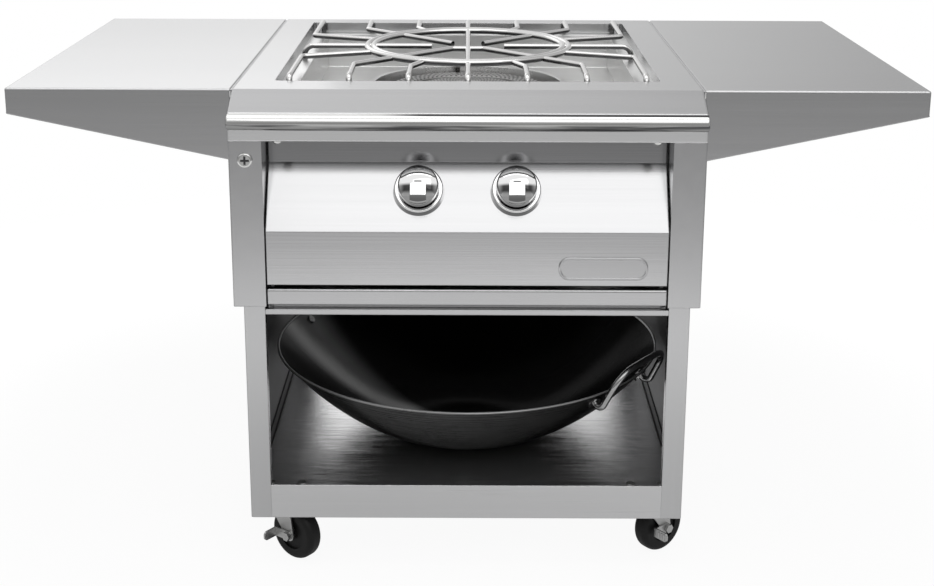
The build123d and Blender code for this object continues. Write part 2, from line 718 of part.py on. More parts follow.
def ring_burner(radius, ports, inlet):
    """Hollow ring with drilled ports on top and its inlet below."""
    def ring(inset):
        width = BURNER_WIDTH - 2 * inset
        height = BURNER_HEIGHT - 2 * inset
        corner = BURNER_WALL + FIT - inset / 2
        return Pos(radius, BURNER_HEIGHT / 2) * RectangleRounded(width, height, corner)

    body = revolve(Plane.XZ * (ring(0) - ring(BURNER_WALL)), Axis.Z)
    body = Pos(0, y_burner, z_bowl + FIT) * body
    drill = Cylinder(PORT_RADIUS, 4 * BURNER_WALL)
    top = z_bowl + FIT + BURNER_HEIGHT
    holes = [Pos(0, y_burner, top) * loc * drill for loc in PolarLocations(radius, ports)]
    holes.append(Pos(*inlet, z_bowl + FIT) * Cylinder(VENTURI_RADIUS + FIT, 4 * BURNER_WALL))
    return body - holes


def outer_burner():
    return ring_burner(OUTER_BURNER, OUTER_PORTS, list(venturi_places())[0])


def inner_burner():
    return ring_burner(INNER_BURNER, INNER_PORTS, list(venturi_places())[1])


def venturi_tubes():
    """Mixing tubes from the valve spuds up into the burners."""
    tubes = []
    y_mouth = y_spud_end + VENTURI_GAP
    for x, y in venturi_places():
        route = [(x, y_mouth, z_spud), (x, y, z_spud), (x, y, z_bowl + FIT + BURNER_WALL)]
        mixer = tube(route, VENTURI_RADIUS, VENTURI_BORE, VENTURI_BEND)
        bell = Cylinder(VENTURI_MOUTH, VENTURI_MOUTH_LENGTH)
        bell -= Cylinder(VENTURI_BORE, 2 * VENTURI_MOUTH_LENGTH)
        bell = Pos(x, y_mouth + VENTURI_MOUTH_LENGTH / 2, z_spud) * Rot(90, 0, 0) * bell
        tubes.append(mixer + bell)
    return Compound(tubes)


def igniter():
    """Igniter post that stands in the bowl behind the outer burner, with its electrode."""
    base = z_bowl + FIT
    y = y_burner + (OUTER_BURNER + BURNER_WIDTH / 2 + BOWL_MOUTH - BOWL_TAPER) / 2
    half = IGNITER_SIZE / 2
    body = block(IGNITER_X - half, IGNITER_X + half, y - half, y + half, base, base + IGNITER_HEIGHT)
    body = fillet(body.edges().filter_by(Axis.Z), SHEET)
    z = base + IGNITER_HEIGHT - half
    return body + rod([(IGNITER_X, y, z), (IGNITER_X, y - 2 * IGNITER_SIZE, z)], SHEET, 0)


def grate():
    """Rod grate: arms and two rings in one plane, welded to bent legs that rest on the ledge."""
    z = DECK_HEIGHT + GRATE_RISE - ROD / 2
    foot = z_ledge + FIT
    reach = opening_depth / 2 - ROD_INSET
    side_reach = opening_width / 2 - ROD_INSET
    inner_ring = GRATE_RING - RING_STEP
    legs = []

    def bar(points, bend):
        return rod(points, ROD / 2, bend)

    def leg(x, y, bend):
        """One leg, turned down at the end of an arm. Returns the place of its weld."""
        run = bend + ROD / 2
        weld = (x, math.copysign(abs(y) - run, y), z) if y else (math.copysign(abs(x) - run, x), 0, z)
        legs.append(Pos(0, y_burner, 0) * bar([(x, y, foot), (x, y, z), weld], bend))
        return weld

    def toward_centre(x, y, radius):
        scale = radius / math.hypot(x, y)
        return (x * scale, y * scale, z)

    pieces = [bar([leg(0, -reach, ROD_BEND), leg(0, reach, ROD_BEND)], ROD_BEND)]
    for side in (-1, 1):
        weld = leg(side * side_reach, 0, ARM_BEND)
        pieces.append(bar([weld, (side * SIDE_ARM_END, 0, z)], ARM_BEND))
        for end in (-1, 1):
            for place, turn in enumerate(ARM_TURNS):
                x = side * rod_spacing * (place + 1)
                y_turn = end * turn
                stop = DIAGONAL_END if place == 1 else inner_ring
                path = [leg(x, end * reach, ROD_BEND), (x, y_turn, z), toward_centre(x, y_turn, stop)]
                if place == 1 and end == -1:
                    path.append((0, path[-1][1], z))
                pieces.append(bar(path, ROD_BEND))
    welded = Pos(0, 0, z + RING_LIFT) * Torus(GRATE_RING, RING_ROD / 2)
    for piece in pieces:
        welded += piece
    welded += Pos(0, 0, z + RING_LIFT) * Torus(inner_ring, RING_ROD / 2)
    return Compound([Pos(0, y_burner, 0) * welded, *legs])


def right_shelf():
    """Folded side shelf with tapered end gussets and hems."""
    x1 = x_shelf + SHELF_WIDTH
    low = DECK_HEIGHT - SHELF_GUSSET
    lip = DECK_HEIGHT - SHELF_LIP
    back = Plane.XZ.offset(-y_back)
    outline = Polyline((x_shelf, DECK_HEIGHT), (x1, DECK_HEIGHT), (x1, lip), (x_shelf, low), close=True)
    shelf = extrude(back * make_face(outline), DECK_DEPTH)
    bends = shelf.edges().filter_by(lambda e: e.center().Z > lip and e.center().X > x_shelf + SHEET)
    shelf = fillet(bends.filter_by(lambda e: e.center().Z > lip + SHEET), BEND)
    hollow_low = low - SHELF_GUSSET
    roof = DECK_HEIGHT - SHEET
    shelf -= block(x_shelf - SHEET, x1 - SHEET, y_deck + SHEET, y_back - SHEET, hollow_low, roof)
    corners = [(x_shelf, low), (x1, lip), (x1, lip + SHEET), (x_shelf, low + SHEET)]
    hem = make_face(Polyline(*corners, close=True))
    hem_depth = SHELF_HEM - SHEET
    shelf += extrude(Plane.XZ.offset(SHEET - y_back) * hem, hem_depth)
    shelf += extrude(Plane.XZ.offset(-y_deck - SHELF_HEM) * hem, hem_depth)
    return shelf


def shelf_screw_places():
    """Three screws along each shelf bracket."""
    middle = (y_deck + y_back) / 2
    return [middle - DECK_DEPTH * 0.36, middle, middle + DECK_DEPTH * 0.36]


def shelf_brackets():
    """Angles on the upper sides that carry the shelves."""
    y0 = y_deck + SHEET + FIT
    y1 = y_back - SHEET - REAR_SETBACK - FIT
    top = DECK_HEIGHT - SHEET
    bracket = block(x_out, x_out + BRACKET_SHEET, y0, y1, DECK_HEIGHT - BRACKET_HEIGHT, top)
    bracket += block(x_out, x_out + BRACKET_LEG, y0, y1, top - BRACKET_SHEET, top)
    for y in shelf_screw_places():
        hole = Cylinder(SHELF_SCREW + HOLE_CLEAR, 4 * BRACKET_SHEET, rotation=(0, 90, 0))
        bracket -= Pos(x_out, y, DECK_HEIGHT - SHELF_SCREW_DROP) * hole
    return Compound([bracket, mirror(bracket, Plane.YZ)])


def pan_screw(shank, head, length, rise=SCREW_HEAD_HEIGHT):
    """Round-headed screw along Z: head above the origin, shank below, with a cross recess."""
    dome = Cylinder(head, rise, align=(Align.CENTER, Align.CENTER, Align.MIN))
    dome = fillet(dome.edges().group_by(Axis.Z)[-1], rise * SCREW_DOME)
    slot = Box(head * SCREW_SLOT_LENGTH, head * SCREW_SLOT_WIDTH, rise)
    for turn in (0, 90):
        dome -= Pos(0, 0, rise) * Rot(0, 0, turn) * slot
    return dome + Cylinder(shank, length, align=(Align.CENTER, Align.CENTER, Align.MAX))


def panel_screws():
    """Shelf bracket screws, two under the deck's lip and one on the left upper side's face."""
    screw = pan_screw(SHELF_SCREW, SHELF_SCREW_HEAD, SHELF_SCREW_REACH)
    screws = []
    for y in shelf_screw_places():
        place = Pos(x_out + BRACKET_SHEET, y, DECK_HEIGHT - SHELF_SCREW_DROP)
        right = place * Rot(0, 90, 0) * screw
        screws += [right, mirror(right, Plane.YZ)]
    lip = pan_screw(LIP_SCREW, LIP_SCREW_HEAD, 4 * SHEET, LIP_SCREW_RISE)
    y = y_lip + LIP_SCREW_SETBACK
    screws += [Pos(x, y, z_skirt) * Rot(180, 0, 0) * lip for x in (-x_lip_screw, x_lip_screw)]
    face = pan_screw(SLEEVE_SCREW, SLEEVE_SCREW_HEAD, 4 * SHEET)
    screws.append(sleeve_screw_place() * Rot(90, 0, 0) * face)
    return Compound(screws)


def caster_plates():
    """Top plates with the bearing cup and kingpin of each caster."""
    outline = RectangleRounded(CASTER_PLATE, CASTER_PLATE, CASTER_PLATE_CORNER)
    plate = Pos(0, 0, z_caster_plate) * extrude(outline, CASTER_PLATE_THICK)
    cup_bottom = z_crown + FORK_SHEET + FIT
    cup_height = z_caster_plate - cup_bottom
    plate += Pos(0, 0, cup_bottom + cup_height / 2) * Cylinder(CASTER_CUP_RADIUS, cup_height)
    pin_bottom = z_crown - FIT
    pin_height = z_caster_plate - pin_bottom
    plate += Pos(0, 0, pin_bottom + pin_height / 2) * Cylinder(KINGPIN, pin_height)
    head_height = FORK_CLEAR
    plate += Pos(0, 0, pin_bottom - head_height / 2) * Cylinder(KINGPIN_HEAD, head_height)
    half = CASTER_BOLT_PITCH / 2
    hole = Cylinder(CASTER_BOLT + HOLE_CLEAR, 4 * CASTER_PLATE_THICK)
    for dx in (-half, half):
        for dy in (-half, half):
            plate -= Pos(dx, dy, z_caster_plate) * hole
    return Compound([Pos(x, y, 0) * plate for _, x, y in caster_places()])


def caster_bolts():
    """Bolts down through the floor pan with low round heads, nutted under the caster plates."""
    low = z_caster_plate - CASTER_NUT_HEIGHT
    high = z_floor + CASTER_BOLT_HEAD_HEIGHT
    bolt = Pos(0, 0, (low + high) / 2) * Cylinder(CASTER_BOLT, high - low)
    bolt += extrude(Pos(0, 0, low) * RegularPolygon(CASTER_NUT, 6), CASTER_NUT_HEIGHT)
    bolt += extrude(Pos(0, 0, z_floor) * Circle(CASTER_BOLT_HEAD), CASTER_BOLT_HEAD_HEIGHT)
    return Compound([Pos(x, y, 0) * bolt for x, y in caster_bolt_places()])


def caster_at(name):
    """Where a caster's own frame sits: swivel axis on Z, trail along X."""
    x, y = next((x, y) for place, x, y in caster_places() if place == name)
    return Pos(x, y, 0) * Rot(0, 0, CASTER_YAWS[name])


def caster_fork(name):
    """Pressed fork: a round crown and two tapered legs with axle holes."""
    crown = Pos(0, 0, z_crown + FORK_SHEET / 2) * Cylinder(FORK_RADIUS, FORK_SHEET)
    top = z_crown + FORK_SHEET
    shoulder = math.sqrt(FORK_RADIUS**2 - fork_outer**2)
    boss = Pos(CASTER_TRAIL, WHEEL_RADIUS) * Circle(FORK_BOSS)
    taper = make_face(Polyline(
        (-shoulder - FORK_FLARE, top), (shoulder + FORK_CLEAR + FORK_FLARE, top),
        (CASTER_TRAIL + FORK_BOSS, WHEEL_RADIUS), (CASTER_TRAIL - FORK_BOSS, WHEEL_RADIUS), close=True,
    ))
    leg = extrude(Plane.XZ.offset(fork_inner) * (boss + taper), FORK_LEG)
    fork = crown + leg + mirror(leg, Plane.XZ)
    fork -= Pos(0, 0, top) * Cylinder(KINGPIN + RUNNING, 4 * FORK_SHEET)
    axle_hole = Cylinder(AXLE + RUNNING, 4 * fork_outer, rotation=(90, 0, 0))
    return caster_at(name) * (fork - Pos(CASTER_TRAIL, 0, WHEEL_RADIUS) * axle_hole)


def caster_wheel(name):
    """Rubber-tyred wheel with a recessed hub and a bored boss."""
    half = WHEEL_WIDTH / 2
    tyre = Cylinder(WHEEL_RADIUS, WHEEL_WIDTH)
    tyre = fillet(tyre.edges(), WHEEL_SHOULDER)
    for z in (-half, half):
        recess = Cylinder(HUB_RADIUS, 2 * HUB_RECESS) - Cylinder(HUB_BOSS, 4 * HUB_RECESS)
        tyre -= Pos(0, 0, z) * recess
    tyre -= Cylinder(AXLE + RUNNING, 2 * WHEEL_WIDTH)
    return caster_at(name) * Pos(CASTER_TRAIL, 0, WHEEL_RADIUS) * Rot(90, 0, 0) * tyre


def axle_bolt(name):
    """Hexagon bolt and nut through the fork and wheel, with room for a brake lever."""
    brake_room = BRAKE_SHEET + 2 * FIT if name.startswith("front") else FIT
    near = fork_outer + brake_room
    far = fork_outer + FIT
    hexagon = RegularPolygon(AXLE_HEAD, 6)
    bolt = extrude(Pos(0, 0, -far - AXLE_HEAD_HEIGHT) * hexagon, AXLE_HEAD_HEIGHT)
    bolt += extrude(Pos(0, 0, near) * hexagon, AXLE_HEAD_HEIGHT)
    bolt += Pos(0, 0, (near - far) / 2) * Cylinder(AXLE, near + far + AXLE_HEAD_HEIGHT)
    return caster_at(name) * Pos(CASTER_TRAIL, 0, WHEEL_RADIUS) * Rot(90, 0, 0) * bolt


def brake_lever(name):
    """Pressed brake lever on the axle, with a ribbed pedal turned outwards."""
    arm = Circle(BRAKE_ARM / 2) + Pos(-BRAKE_LENGTH / 2, 0) * Rectangle(BRAKE_LENGTH, BRAKE_ARM)
    near = fork_outer + FIT
    lever = extrude(Pos(0, 0, near) * arm, BRAKE_SHEET)
    edge = BRAKE_SHEET - BRAKE_LENGTH
    pedal = block(-BRAKE_LENGTH, edge, -BRAKE_ARM / 2, BRAKE_ARM / 2, near, near + BRAKE_PEDAL)
    lever += fillet(pedal.edges().filter_by(Axis.X).group_by(Axis.Z)[-1], BRAKE_ARM * 0.4)
    for reach in BRAKE_RIBS:
        rib = Cylinder(BRAKE_RIB, BRAKE_ARM - 4 * BRAKE_RIB, rotation=(90, 0, 0))
        lever += Pos(-BRAKE_LENGTH, 0, near + reach) * rib
    lever -= Cylinder(AXLE + RUNNING, 4 * (near + BRAKE_SHEET))
    return caster_at(name) * Pos(CASTER_TRAIL, 0, WHEEL_RADIUS) * Rot(90, 0, 0) * lever


def wok_line(radius, depth):
    """Half section of the wok's surface: a flat foot and a curve that steepens to the rim."""
    foot = (WOK_FLAT, wok_bottom + WOK_DEPTH - depth)
    rim = (radius, wok_bottom + WOK_DEPTH)
    return Spline(foot, rim, tangents=[(1, 0), (0.62, 0.78)], tangent_scalars=[0.9, 1.1])


def wok():
    """Thin steel bowl with a small rolled rim."""
    outside = wok_line(wok_radius, WOK_DEPTH)
    inside = wok_line(wok_radius - WOK_WALL, WOK_DEPTH - WOK_WALL)
    section = make_face(Curve() + [
        Line((0, wok_bottom), outside @ 0),
        outside,
        Line(outside @ 1, inside @ 1),
        inside,
        Line(inside @ 0, (0, wok_bottom + WOK_WALL)),
        Line((0, wok_bottom + WOK_WALL), (0, wok_bottom)),
    ])
    bowl = revolve(Plane.XZ * section, Axis.Z)
    rim = Torus(wok_radius - WOK_RIM / 2, WOK_RIM / 2)
    bowl += Pos(0, 0, wok_bottom + WOK_DEPTH - WOK_RIM / 2) * rim
    bowl = Pos(0, WOK_Y, 0) * bowl
    for turn in (0, 180):
        for place in rivet_planes(turn):
            bowl -= place * Cylinder(RIVET + HOLE_CLEAR, 8 * WOK_WALL)
    return bowl


def rivet_planes(turn):
    """Frames on the wok's outside at a handle's two rivets, Z out of the wall."""
    curve = wok_line(wok_radius, WOK_DEPTH)
    height = wok_bottom + WOK_DEPTH - WOK_HANDLE_DROP
    low, high = 0.0, 1.0
    while high - low > 1e-6:
        middle = (low + high) / 2
        low, high = (middle, high) if (curve @ middle).Y < height else (low, middle)
    wall = curve @ low
    along = curve % low
    for end in (-1, 1):
        angle = math.radians(WOK_HANDLE_ANGLE + turn + end * WOK_HANDLE_HALF)
        c, s = math.cos(angle), math.sin(angle)
        outward = (along.Y * c, along.Y * s, -along.X)
        yield Plane((wall.X * c, WOK_Y + wall.X * s, wall.Y), x_dir=(-s, c, 0), z_dir=outward)


def wok_handle(turn):
    """Loop handle of bent rod, with two pads riveted under the rim."""
    first, last = rivet_planes(turn)
    tips = []
    for end in (-1, 1):
        angle = math.radians(WOK_HANDLE_ANGLE + turn + end * WOK_HANDLE_HALF * WOK_HANDLE_NARROW)
        reach = wok_radius + WOK_HANDLE_REACH
        tip_height = wok_bottom + WOK_DEPTH + WOK_HANDLE_RISE
        tips.append((reach * math.cos(angle), WOK_Y + reach * math.sin(angle), tip_height))
    near = (0, 0, FIT + RIVET_PAD_THICK / 2)
    out = (0, 0, WOK_HANDLE_STANDOFF)
    roots = [first.from_local_coords(near), first.from_local_coords(out)]
    ends = [last.from_local_coords(out), last.from_local_coords(near)]
    bends = [WOK_HANDLE_ROOT_BEND, WOK_HANDLE_TIP_BEND, WOK_HANDLE_TIP_BEND, WOK_HANDLE_ROOT_BEND]
    loop = rod([*roots, *tips, *ends], WOK_HANDLE_ROD / 2, bends)
    inner_face = -WOK_WALL - FIT
    for place in (first, last):
        pad = Cylinder(RIVET_PAD, RIVET_PAD_THICK, align=(Align.CENTER, Align.CENTER, Align.MIN))
        loop += place * Pos(0, 0, FIT) * pad
        low = inner_face - RIVET_HEAD_HEIGHT
        loop += place * Pos(0, 0, low / 2 + FIT) * Cylinder(RIVET, FIT - low)
        head = Cylinder(RIVET_HEAD, RIVET_HEAD_HEIGHT, align=(Align.CENTER, Align.CENTER, Align.MAX))
        head = fillet(head.edges().group_by(Axis.Z)[0], RIVET_HEAD_HEIGHT / 2)
        loop += place * Pos(0, 0, inner_face) * head
    return loop


nodes = {
    "top_deck": top_deck(),
    "bullnose_rail": bullnose_rail(),
    "left_upper_side": left_upper_side(),
    "right_upper_side": right_upper_side(),
    "front_left_post": front_left_post(),
    "front_right_post": corner_post(True, False),
    "rear_left_post": corner_post(False, True),
    "rear_right_post": corner_post(True, True),
    "left_lower_side": mirror(right_lower_side(), Plane.YZ),
    "right_lower_side": right_lower_side(),
    "back_panel": back_panel(),
    "base_pan": base_pan(),
    "heat_shield": heat_shield(),
    "tray_runners": tray_runners(),
    "drip_tray": drip_tray(),
    "control_panel": control_panel(),
    "badge_plate": badge_plate(),
    "knob_bezels": knob_bezels(),
    "gas_manifold": gas_manifold(),
    "gas_inlet_fitting": gas_inlet_fitting(),
    "firebox": firebox(),
    "burner_bowl": burner_bowl(),
    "outer_burner": outer_burner(),
    "inner_burner": inner_burner(),
    "venturi_tubes": venturi_tubes(),
    "igniter": igniter(),
    "grate": grate(),
    "left_shelf": mirror(right_shelf(), Plane.YZ),
    "right_shelf": right_shelf(),
    "shelf_brackets": shelf_brackets(),
    "panel_screws": panel_screws(),
    "caster_plates": caster_plates(),
    "caster_bolts": caster_bolts(),
    "wok": wok(),
    "wok_front_handle": wok_handle(0),
    "wok_rear_handle": wok_handle(180),
}
for name, side in (("left", -1), ("right", 1)):
    nodes[f"{name}_knob"] = knob(side)
    nodes[f"{name}_valve_stem"] = valve_stem(side)
    nodes[f"{name}_thrust_washer"] = thrust_washer(side)
    nodes[f"{name}_return_spring"] = return_spring(side)
    nodes[f"{name}_gas_valve"] = gas_valve(side)
for name, _, _ in caster_places():
    nodes[f"{name}_fork"] = caster_fork(name)
    nodes[f"{name}_wheel"] = caster_wheel(name)
    nodes[f"{name}_axle"] = axle_bolt(name)
    if name.startswith("front"):
        nodes[f"{name}_brake"] = brake_lever(name)

os.makedirs("parts", exist_ok=True)
for name, shape in nodes.items():
    export_step(shape, f"parts/{name}.step")
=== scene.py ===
import math

import bpy
from mathutils import Matrix, Vector


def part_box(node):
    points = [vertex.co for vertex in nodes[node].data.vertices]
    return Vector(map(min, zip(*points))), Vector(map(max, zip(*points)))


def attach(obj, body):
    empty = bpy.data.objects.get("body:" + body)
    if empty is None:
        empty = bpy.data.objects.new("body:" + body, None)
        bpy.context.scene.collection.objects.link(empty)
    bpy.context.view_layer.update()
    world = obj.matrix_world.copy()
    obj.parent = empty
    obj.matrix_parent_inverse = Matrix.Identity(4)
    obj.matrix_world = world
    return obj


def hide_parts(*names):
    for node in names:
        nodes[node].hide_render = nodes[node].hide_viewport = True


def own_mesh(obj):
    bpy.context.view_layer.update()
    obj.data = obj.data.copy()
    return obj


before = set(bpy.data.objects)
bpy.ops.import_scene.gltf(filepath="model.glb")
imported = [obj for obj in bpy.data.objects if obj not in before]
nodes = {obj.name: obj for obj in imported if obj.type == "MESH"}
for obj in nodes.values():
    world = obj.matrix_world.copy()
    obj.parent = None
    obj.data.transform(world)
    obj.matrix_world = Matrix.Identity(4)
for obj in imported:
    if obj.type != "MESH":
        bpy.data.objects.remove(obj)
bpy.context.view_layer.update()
bpy.ops.object.select_all(action="DESELECT")


# The camera stands in front of the cart, a little above it, with a long lens. Its place, tilt
# and shift give the cart the outline that it has in the photograph.
scene = bpy.context.scene
scene.view_settings.view_transform = "Standard"

PHOTO_WIDTH = 934
FOCAL_PIXELS = 1475.0
SENSOR_WIDTH = 36.0
CAMERA_PLACE = (-0.0007, -2.1427, 1.0247)
CAMERA_PITCH = 0.2565
CAMERA_ROLL = 0.0038
CAMERA_SHIFT = -0.121

camera_data = bpy.data.cameras.new("camera")
camera_data.sensor_width = SENSOR_WIDTH
camera_data.lens = FOCAL_PIXELS / PHOTO_WIDTH * SENSOR_WIDTH
camera_data.shift_y = CAMERA_SHIFT
camera = bpy.data.objects.new("camera", camera_data)
scene.collection.objects.link(camera)
tilt = Matrix.Rotation(math.pi / 2 - CAMERA_PITCH, 4, "X") @ Matrix.Rotation(CAMERA_ROLL, 4, "Z")
camera.matrix_world = Matrix.Translation(CAMERA_PLACE) @ tilt
scene.camera = camera


# The studio walls are white to the eye. What the steel mirrors is a grey wall in front, a
# bright one behind that darkens to the right, and a dark flag at each side.
class Shade:
    """A socket in a node tree. Arithmetic on it adds Math nodes to that tree."""

    def __init__(self, tree, socket):
        self.tree = tree
        self.socket = socket

    def node(self, kind, settings=None, inputs=None, output=0):
        """The given output of a new node, after its settings and then its inputs are set."""
        made = self.tree.nodes.new(kind)
        for name, value in (settings or {}).items():
            if name == "stops":
                ramp = made.color_ramp.elements
                while len(ramp) < len(value):
                    ramp.new(0.5)
                for stop, (place, grey) in zip(ramp, value):
                    stop.position = place
                    stop.color = (grey, grey, grey, 1)
            else:
                setattr(made, name, value)
        for name, value in (inputs or {}).items():
            if isinstance(value, Shade):
                self.tree.links.new(value.socket, made.inputs[name])
            else:
                made.inputs[name].default_value = value
        return Shade(self.tree, made.outputs[output])

    def maths(self, operation, first, second=0):
        return self.node("ShaderNodeMath", {"operation": operation}, {0: first, 1: second})

    def __add__(self, other):
        return self.maths("ADD", self, other)

    def __radd__(self, other):
        return self.maths("ADD", other, self)

    def __sub__(self, other):
        return self.maths("SUBTRACT", self, other)

    def __rsub__(self, other):
        return self.maths("SUBTRACT", other, self)

    def __mul__(self, other):
        return self.maths("MULTIPLY", self, other)

    def __rmul__(self, other):
        return self.maths("MULTIPLY", other, self)

    def __abs__(self):
        return self.maths("ABSOLUTE", self)

    def rise(self, low, high):
        """A smooth step from zero at low to one at high."""
        limits = {"Value": self, "From Min": low, "From Max": high}
        return self.node("ShaderNodeMapRange", {"interpolation_type": "SMOOTHSTEP"}, limits)

    def axes(self, kind, output):
        """The X, Y and Z of a node's vector output."""
        vector = self.node(kind, output=output)
        return [self.node("ShaderNodeSeparateXYZ", inputs={0: vector}, output=axis) for axis in "XYZ"]

    def place(self):
        """Where a point is on the piece: across, depth and height."""
        return self.axes("ShaderNodeTexCoord", "Object")

    def facing(self):
        """Which way the surface looks: its normal's X, Y and Z."""
        return self.axes("ShaderNodeNewGeometry", "Normal")

    def blend(self, low, high):
        """A mix of two numbers or, where the second is a tuple, of two colours."""
        if isinstance(high, tuple):
            low = (*low, 1) if isinstance(low, tuple) else low
            ends = {"Factor": self, 6: low, 7: (*high, 1)}
            return self.node("ShaderNodeMix", {"data_type": "RGBA"}, ends, 2)
        return self.node("ShaderNodeMix", {"data_type": "FLOAT"}, {"Factor": self, "A": low, "B": high})


RAY = "ShaderNodeLightPath"
RAMP = "ShaderNodeValToRGB"


def mirrored(tree):
    """One for rays off metal or through glass, zero for the rest."""
    glossy = tree.node(RAY, output="Is Glossy Ray")
    return tree.maths("MAXIMUM", glossy, tree.node(RAY, output="Is Transmission Ray"))


FRONT_STOPS = [(0.0, 0.80), (0.35, 0.75), (0.385, 0.42), (0.41, 0.32), (0.5, 0.28), (0.65, 0.45), (0.8, 0.9)]
BACK_STOPS = [(0.0, 0.80), (0.5, 0.90), (0.65, 1.0)]
ACROSS_STOPS = [(0.35, 1.0), (0.47, 0.95), (0.56, 0.77), (0.64, 0.57), (1.0, 0.70)]
FRONT_TO_BACK = (-0.3, 0.3)
FLAG_ASIDE = (0.72, 0.92)
FLAG_HEIGHT = (0.25, 0.45)
FLAG_SHADE = 0.35
SKY_LIGHT = 0.3
world = bpy.data.worlds.new("studio")
scene.world = world
world.use_nodes = True
sky = Shade(world.node_tree, None)
across, depth, height = sky.axes("ShaderNodeTexCoord", "Generated")
front = sky.node(RAMP, {"stops": FRONT_STOPS}, {0: height * 0.5 + 0.5})
back = sky.node(RAMP, {"stops": BACK_STOPS}, {0: height * 0.5 + 0.5})
back = back * sky.node(RAMP, {"stops": ACROSS_STOPS}, {0: across * 0.5 + 0.5})
flag = (1 - abs(height).rise(*FLAG_HEIGHT)) * abs(across).rise(*FLAG_ASIDE)
level = flag.blend(depth.rise(*FRONT_TO_BACK).blend(front, back), FLAG_SHADE)
level = mirrored(sky).blend(SKY_LIGHT, level)
level = sky.node(RAY, output="Is Camera Ray").blend(level, 1.0)
background = world.node_tree.nodes["Background"]
background.inputs["Color"].default_value = (1, 1, 1, 1)
world.node_tree.links.new(level.socket, background.inputs["Strength"])


# The floor is a pale matt disc that fades into the white around it. It keeps the cart's
# shadow. In the steel it shows a painted glow, brighter to the right, that fades out behind the cart as
# painted shadow.
FLOOR_RADIUS = 1.7
FLOOR_PAINT = (0.86, 0.86, 0.86, 1)
FLOOR_WHITE = 0.88
FLOOR_GLOW = 1.06
FLOOR_FADE = (0.6, 1.5)
FLOOR_SHEEN = (0.37, 0.48)
SHEEN_ACROSS = (-0.4, 0.4)
SHEEN_DEPTH = (-0.5, 0.1)
bpy.ops.mesh.primitive_circle_add(vertices=128, radius=FLOOR_RADIUS, fill_type="NGON", location=(0, 0, 0))
floor = bpy.context.object
floor.name = "studio_floor"
floor_paint = bpy.data.materials.new("floor_paint")
floor_paint.use_nodes = True
ground = Shade(floor_paint.node_tree, None)
paint = floor_paint.node_tree.nodes["Principled BSDF"]
paint.inputs["Base Color"].default_value = FLOOR_PAINT
paint.inputs["Roughness"].default_value = 0.9
paint.inputs["Specular IOR Level"].default_value = 0.1
white = ground.node("ShaderNodeEmission", inputs={"Color": (1, 1, 1, 1), "Strength": FLOOR_GLOW})
spot = ground.node("ShaderNodeTexCoord", output="Object")
reach = ground.node("ShaderNodeVectorMath", {"operation": "LENGTH"}, {0: spot}, "Value")
fade = reach.rise(*FLOOR_FADE)
seen = ground.node(RAY, output="Is Camera Ray") * fade.blend(FLOOR_WHITE, 1.0)
across, depth, height = ground.place()
# Painted light and shadow in the mirrored glow: brighter to the right, none behind the cart.
sheen = fade.blend(across.rise(*SHEEN_ACROSS).blend(*FLOOR_SHEEN), 1.0)
share = seen + mirrored(ground) * depth.rise(*SHEEN_DEPTH).blend(sheen, 0.0)
matt_paint = Shade(floor_paint.node_tree, paint.outputs[0])
mix = ground.node("ShaderNodeMixShader", inputs={0: share, 1: matt_paint, 2: white})
surface = floor_paint.node_tree.nodes["Material Output"].inputs["Surface"]
floor_paint.node_tree.links.new(mix.socket, surface)
floor.data.materials.append(floor_paint)


# Three soft boxes light the cart: a wide one overhead, one from the front right above the
# camera, and a weak one behind at the left. Each row is place, aim, width, height and watts.
LAMPS = {
    "top_box": ((0.0, -0.35, 2.6), (0.0, -0.3, 0.4), 2.6, 1.1, 12.0),
    "front_box": ((0.5, -2.3, 2.5), (0.1, -0.3, 0.5), 2.6, 1.6, 11.0),
    "back_box": ((-1.3, 2.8, 1.9), (-0.4, 0.0, 0.6), 1.8, 1.4, 4.0),
}
for name, (place, aim, wide, high, watts) in LAMPS.items():
    lamp = bpy.data.lights.new(name, "AREA")
    lamp.shape = "RECTANGLE"
    lamp.size = wide
    lamp.size_y = high
    lamp.energy = watts
    stand = bpy.data.objects.new(name, lamp)
    stand.location = place
    stand.rotation_euler = (Vector(aim) - Vector(place)).to_track_quat("-Z", "Y").to_euler()
    scene.collection.objects.link(stand)


# The sheet-metal body is folded from thin stainless steel, brushed along each panel's length,
# and screwed or welded together. Fine lines vary its gloss, and faint smears show wiping.
def finish(name, **sockets):
    """A Principled material, its shader, and its tree ready for more nodes."""
    material = bpy.data.materials.new(name)
    material.use_nodes = True
    shader = material.node_tree.nodes["Principled BSDF"]
    for socket, value in sockets.items():
        shader.inputs[socket.replace("_", " ")].default_value = value
    return material, shader, Shade(material.node_tree, None)


def feed(shader, socket, shade):
    shade.tree.links.new(shade.socket, shader.inputs[socket])


def streaks(tree, scale, detail=2.0):
    """Noise on the piece's own coordinates, stretched by a different scale on each axis."""
    spot = tree.node("ShaderNodeTexCoord", output="Object")
    spot = tree.node("ShaderNodeMapping", inputs={"Vector": spot, "Scale": scale})
    grain = {"Vector": spot, "Scale": 1.0, "Detail": detail, "Roughness": 0.55}
    return tree.node("ShaderNodeTexNoise", inputs=grain)


def patches(tree, scale, detail):
    """Noise with the same scale on every axis."""
    return streaks(tree, (scale, scale, scale), detail)


def dress(material, names):
    for name in names:
        nodes[name].data.materials.clear()
        nodes[name].data.materials.append(material)


FINE = 900.0
BROAD = 60.0
ALONG = 3.0
WIPED = 5.0
WIPED_ROUGH = 0.06
FOLD = 0.0018
SOFT = 0.001


